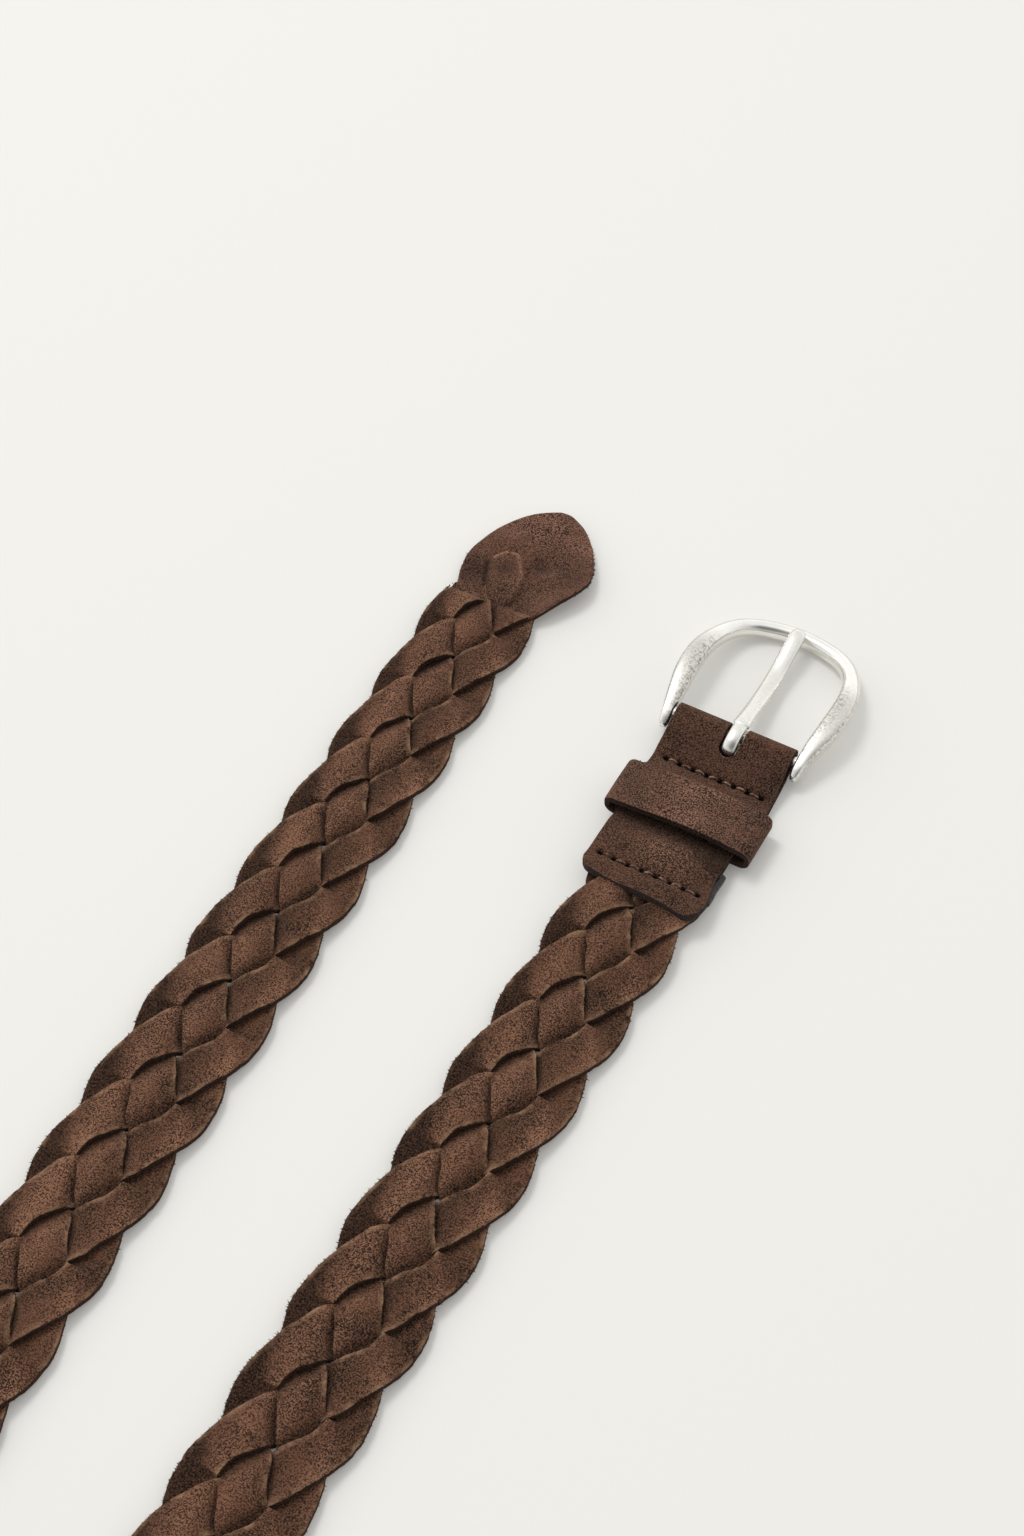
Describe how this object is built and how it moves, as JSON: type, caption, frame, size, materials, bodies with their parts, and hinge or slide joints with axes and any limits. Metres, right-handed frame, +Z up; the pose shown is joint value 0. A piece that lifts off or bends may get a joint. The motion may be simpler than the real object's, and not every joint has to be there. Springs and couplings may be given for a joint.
{
  "type": "braided belt",
  "caption": "Braided suede belt lying open in a hairpin, with a plain tapered tip, a stitched buckle tab, a keeper loop and a silver heel-bar buckle whose frame and prong swing.",
  "frame": {"origin": "on the surface under the middle of the belt's bounding box", "axes": "+Y along the straps from the bend towards the buckle and the tip, +Z up from the surface, +X across towards the buckle's strap"},
  "size_m": [0.1098, 0.5094, 0.0295],
  "materials": {
    "suede": "brown suede, matt nap",
    "bound_end": "dark pressed and glued leather, slightly glossy",
    "silver": "satin silver plate, worn"
  },
  "bodies": {
    "strap": {"strand_1": "suede", "strand_2": "suede", "strand_3": "suede", "strand_4": "suede", "tip_leaf": "suede", "tab": "suede", "braid_binding": "bound_end", "keeper_loop": "suede"},
    "frame": {"buckle_frame": "silver"},
    "prong": {"prong": "silver"}
  },
  "joints": [
    {"name": "frame_swing", "type": "hinge", "parent": "strap", "child": "frame", "pos_m": [0.03259, 0.20734, 0.0039], "axis": [1, -0.0045, 0], "range_deg": [0, 55]},
    {"name": "prong_swing", "type": "hinge", "parent": "frame", "child": "prong", "pos_m": [0.03259, 0.20734, 0.0039], "axis": [1, -0.0045, 0], "range_deg": [0, 80]}
  ]
}
